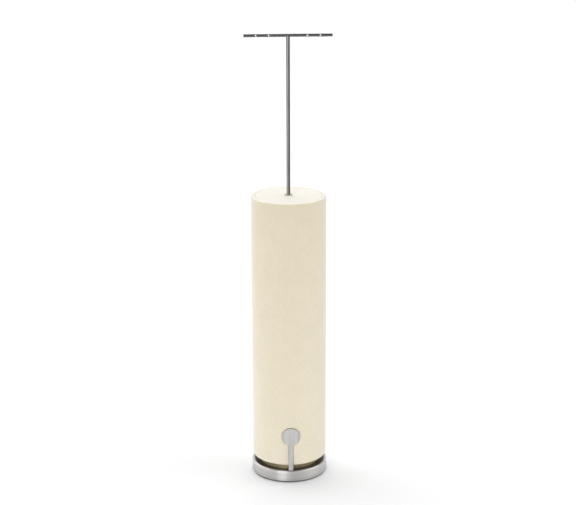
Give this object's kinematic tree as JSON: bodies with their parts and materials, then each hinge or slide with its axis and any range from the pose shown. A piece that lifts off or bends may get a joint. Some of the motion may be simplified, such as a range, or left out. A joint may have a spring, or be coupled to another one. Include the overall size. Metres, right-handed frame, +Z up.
{
  "type": "jewelry stand",
  "caption": "Earring display stand: a covered round column on a steel dish base, with a swivelling, lift-out T-bar drilled for earring posts.",
  "frame": {"origin": "centre of the foot pad's underside, on the surface the stand rests on", "axes": "+Z up along the column and mast, -Y towards the front ornament, X along the crossbar at rest"},
  "size_m": [0.069, 0.0617, 0.3619],
  "materials": {
    "foot_rubber": "matt black cellular rubber",
    "brushed_steel": "fine brushed stainless steel",
    "black_iron": "matt black paint on cast iron",
    "champagne_metal": "satin champagne-coloured metal",
    "screw_steel": "zinc-plated steel",
    "insert_brass": "plain turned brass",
    "fibreboard": "raw medium-density fibreboard",
    "tube_board": "rigid extruded tube",
    "cream_leatherette": "fine-grained cream leatherette, satin",
    "turned_steel": "bright turned steel",
    "polished_steel": "polished stainless steel"
  },
  "bodies": {
    "stand": {"foot_pad": "foot_rubber", "base_dish": "brushed_steel", "ballast_disc": "black_iron", "spacer_disc": "champagne_metal", "base_screws": "screw_steel", "base_inserts": "insert_brass", "bottom_plug": "fibreboard", "core_tube": "tube_board", "column_wrap": "cream_leatherette", "top_plug": "fibreboard", "top_board": "fibreboard", "top_cover": "cream_leatherette", "front_ornament": "brushed_steel", "ornament_screw": "screw_steel", "socket_tube": "turned_steel"},
    "swivel": {"swivel_sleeve": "polished_steel", "stop_plug": "turned_steel", "retaining_clip": "turned_steel"},
    "mast": {"mast_rod": "polished_steel", "crossbar": "polished_steel"}
  },
  "joints": [
    {"name": "mast_swivel", "type": "hinge", "parent": "stand", "child": "swivel", "pos_m": [0, 0, 0.234], "axis": [0, 0, 1], "continuous": true},
    {"name": "mast_lift", "type": "slide", "parent": "swivel", "child": "mast", "axis": [0, 0, 1], "range_m": [0, 0.06]}
  ]
}
